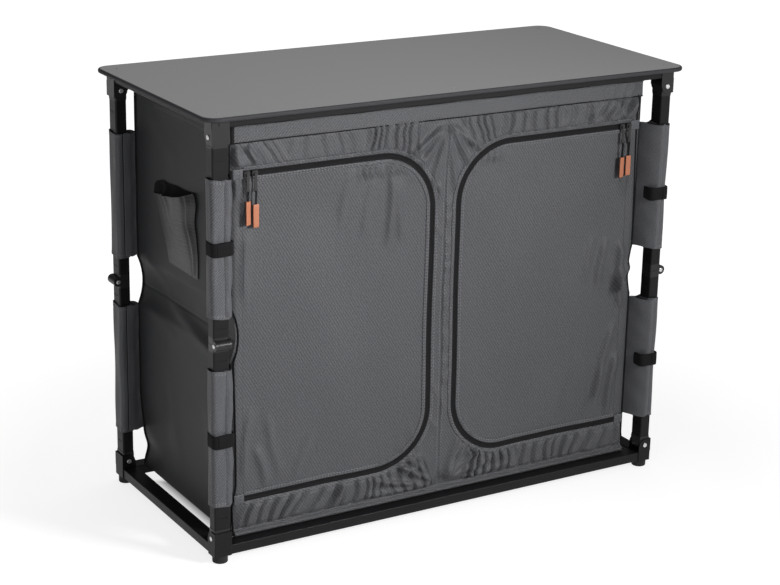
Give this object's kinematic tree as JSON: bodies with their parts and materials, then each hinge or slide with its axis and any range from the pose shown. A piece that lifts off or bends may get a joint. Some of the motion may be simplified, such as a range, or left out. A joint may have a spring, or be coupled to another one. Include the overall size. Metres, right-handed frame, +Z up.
{
  "type": "camping cupboard",
  "caption": "Folding camping cupboard: a worktop on folding legs over a zipped fabric cupboard with shelves, doors and a side pocket.",
  "frame": {"origin": "on the ground, at the centre of the footprint", "axes": "+X along the front to the right, +Y from front to back, +Z up"},
  "size_m": [1, 0.474, 0.813],
  "materials": {
    "worktop_laminate": "fine satin grey laminate",
    "edge_plastic": "satin black moulded edge",
    "painted_steel": "fine textured black powder coat",
    "moulded_nylon": "satin black moulded nylon",
    "foot_rubber": "matt black rubber",
    "rivet_steel": "plain zinc",
    "grey_fabric": "woven grey polyester",
    "dark_fabric": "smooth dark grey coated polyester",
    "stiffener_board": "dark pressed board",
    "zip_tape": "black woven tape",
    "slider_metal": "black enamelled zinc",
    "pull_tab_leather": "tan coated pull tab"
  },
  "bodies": {
    "base": {"base_rails": "painted_steel", "base_brackets": "moulded_nylon", "base_rivets": "rivet_steel", "feet": "foot_rubber", "box_floor": "dark_fabric", "floor_boards": "stiffener_board"},
    "lower_leg_front_left": {"lower_tube_front_left": "painted_steel", "lower_fittings_front_left": "moulded_nylon", "lower_sleeve_front_left": "grey_fabric", "knee_pin_front_left": "rivet_steel"},
    "upper_leg_front_left": {"upper_tube_front_left": "painted_steel", "upper_fittings_front_left": "moulded_nylon", "upper_sleeve_front_left": "grey_fabric"},
    "lower_leg_front_right": {"lower_tube_front_right": "painted_steel", "lower_fittings_front_right": "moulded_nylon", "lower_sleeve_front_right": "grey_fabric", "knee_pin_front_right": "rivet_steel"},
    "upper_leg_front_right": {"upper_tube_front_right": "painted_steel", "upper_fittings_front_right": "moulded_nylon", "upper_sleeve_front_right": "grey_fabric"},
    "lower_leg_back_right": {"lower_tube_back_right": "painted_steel", "lower_fittings_back_right": "moulded_nylon", "lower_sleeve_back_right": "grey_fabric", "knee_pin_back_right": "rivet_steel"},
    "upper_leg_back_right": {"upper_tube_back_right": "painted_steel", "upper_fittings_back_right": "moulded_nylon", "upper_sleeve_back_right": "grey_fabric"},
    "lower_leg_back_left": {"lower_tube_back_left": "painted_steel", "lower_fittings_back_left": "moulded_nylon", "lower_sleeve_back_left": "grey_fabric", "knee_pin_back_left": "rivet_steel"},
    "upper_leg_back_left": {"upper_tube_back_left": "painted_steel", "upper_fittings_back_left": "moulded_nylon", "upper_sleeve_back_left": "grey_fabric"},
    "top": {"worktop": "worktop_laminate", "edge_trim": "edge_plastic", "top_rails": "painted_steel", "top_brackets": "moulded_nylon", "top_rivets": "rivet_steel", "top_screws": "rivet_steel", "front_panel": "grey_fabric", "back_panel": "dark_fabric", "side_panel_left": "dark_fabric", "side_panel_right": "dark_fabric", "divider": "dark_fabric", "side_pocket": "grey_fabric"},
    "shelf": {"shelf_boards": "stiffener_board"},
    "zip_ends": {"zip_end_tabs": "zip_tape"},
    "door_left": {"door_left": "grey_fabric", "zip_left": "zip_tape"},
    "sliders_left": {"sliders_left": "slider_metal"},
    "puller_left_outer": {"puller_left_outer": "pull_tab_leather"},
    "puller_left_inner": {"puller_left_inner": "pull_tab_leather"},
    "door_right": {"door_right": "grey_fabric", "zip_right": "zip_tape"},
    "sliders_right": {"sliders_right": "slider_metal"},
    "puller_right_outer": {"puller_right_outer": "pull_tab_leather"},
    "puller_right_inner": {"puller_right_inner": "pull_tab_leather"}
  },
  "joints": [
    {"name": "frame_fold", "type": "hinge", "parent": "base", "child": "lower_leg_front_left", "pos_m": [-0.465, -0.205, 0.047], "axis": [-1, 0, 0], "range_deg": [0, 90], "deforming": ["front_panel", "back_panel", "side_panel_left", "side_panel_right", "divider", "side_pocket", "door_left", "door_right", "zip_left", "zip_right"]},
    {"name": "knee_front_left", "type": "hinge", "parent": "lower_leg_front_left", "child": "upper_leg_front_left", "pos_m": [-0.465, -0.218, 0.411], "axis": [-1, 0, 0], "range_deg": [-180, 0]},
    {"name": "base_hinge_front_right", "type": "hinge", "parent": "base", "child": "lower_leg_front_right", "pos_m": [0.468, -0.202, 0.047], "axis": [0, -1, 0], "range_deg": [0, 90]},
    {"name": "knee_front_right", "type": "hinge", "parent": "lower_leg_front_right", "child": "upper_leg_front_right", "pos_m": [0.481, -0.202, 0.411], "axis": [0, -1, 0], "range_deg": [-180, 0]},
    {"name": "base_hinge_back_right", "type": "hinge", "parent": "base", "child": "lower_leg_back_right", "pos_m": [0.465, 0.205, 0.047], "axis": [1, 0, 0], "range_deg": [0, 90]},
    {"name": "knee_back_right", "type": "hinge", "parent": "lower_leg_back_right", "child": "upper_leg_back_right", "pos_m": [0.465, 0.218, 0.411], "axis": [1, 0, 0], "range_deg": [-180, 0]},
    {"name": "base_hinge_back_left", "type": "hinge", "parent": "base", "child": "lower_leg_back_left", "pos_m": [-0.468, 0.202, 0.047], "axis": [0, 1, 0], "range_deg": [0, 90]},
    {"name": "knee_back_left", "type": "hinge", "parent": "lower_leg_back_left", "child": "upper_leg_back_left", "pos_m": [-0.481, 0.202, 0.411], "axis": [0, 1, 0], "range_deg": [-180, 0]},
    {"name": "top_hinge", "type": "hinge", "parent": "upper_leg_front_left", "child": "top", "pos_m": [-0.465, -0.205, 0.775], "axis": [-1, 0, 0], "range_deg": [0, 90]},
    {"name": "shelf_lift", "type": "slide", "parent": "top", "child": "shelf", "axis": [0, 0, 1], "range_m": [0, 0.3703]},
    {"name": "zip_end_fold", "type": "hinge", "parent": "top", "child": "zip_ends", "pos_m": [0, -0.186, 0.8047], "axis": [1, 0, 0], "range_deg": [0, 90]},
    {"name": "door_left_hinge", "type": "hinge", "parent": "top", "child": "door_left", "pos_m": [-0.409, -0.186, 0.7], "axis": [0, 0, 1], "range_deg": [-110, 0]},
    {"name": "sliders_left_travel", "type": "slide", "parent": "zip_ends", "child": "sliders_left", "axis": [-1, 0, 0], "range_m": [-0.24, 0]},
    {"name": "puller_left_outer_swing", "type": "hinge", "parent": "sliders_left", "child": "puller_left_outer", "pos_m": [-0.403, -0.1948, 0.7], "axis": [1, 0, 0], "range_deg": [-110, 0]},
    {"name": "puller_left_inner_swing", "type": "hinge", "parent": "sliders_left", "child": "puller_left_inner", "pos_m": [-0.388, -0.1948, 0.7], "axis": [1, 0, 0], "range_deg": [-110, 0]},
    {"name": "door_right_hinge", "type": "hinge", "parent": "top", "child": "door_right", "pos_m": [0.409, -0.186, 0.7], "axis": [0, 0, -1], "range_deg": [-110, 0]},
    {"name": "sliders_right_travel", "type": "slide", "parent": "zip_ends", "child": "sliders_right", "axis": [1, 0, 0], "range_m": [-0.24, 0]},
    {"name": "puller_right_outer_swing", "type": "hinge", "parent": "sliders_right", "child": "puller_right_outer", "pos_m": [0.403, -0.1948, 0.7], "axis": [1, 0, 0], "range_deg": [-110, 0]},
    {"name": "puller_right_inner_swing", "type": "hinge", "parent": "sliders_right", "child": "puller_right_inner", "pos_m": [0.388, -0.1948, 0.7], "axis": [1, 0, 0], "range_deg": [-110, 0]}
  ],
  "couplings": [
    {"joint": "knee_front_left", "follows": "frame_fold", "ratio": -2},
    {"joint": "base_hinge_front_right", "follows": "frame_fold", "ratio": 1},
    {"joint": "knee_front_right", "follows": "frame_fold", "ratio": -2},
    {"joint": "base_hinge_back_right", "follows": "frame_fold", "ratio": 1},
    {"joint": "knee_back_right", "follows": "frame_fold", "ratio": -2},
    {"joint": "base_hinge_back_left", "follows": "frame_fold", "ratio": 1},
    {"joint": "knee_back_left", "follows": "frame_fold", "ratio": -2},
    {"joint": "top_hinge", "follows": "frame_fold", "ratio": 1},
    {"joint": "shelf_lift", "follows": "frame_fold", "m_per_rad": 0.23573},
    {"joint": "zip_end_fold", "follows": "frame_fold", "ratio": 1}
  ]
}
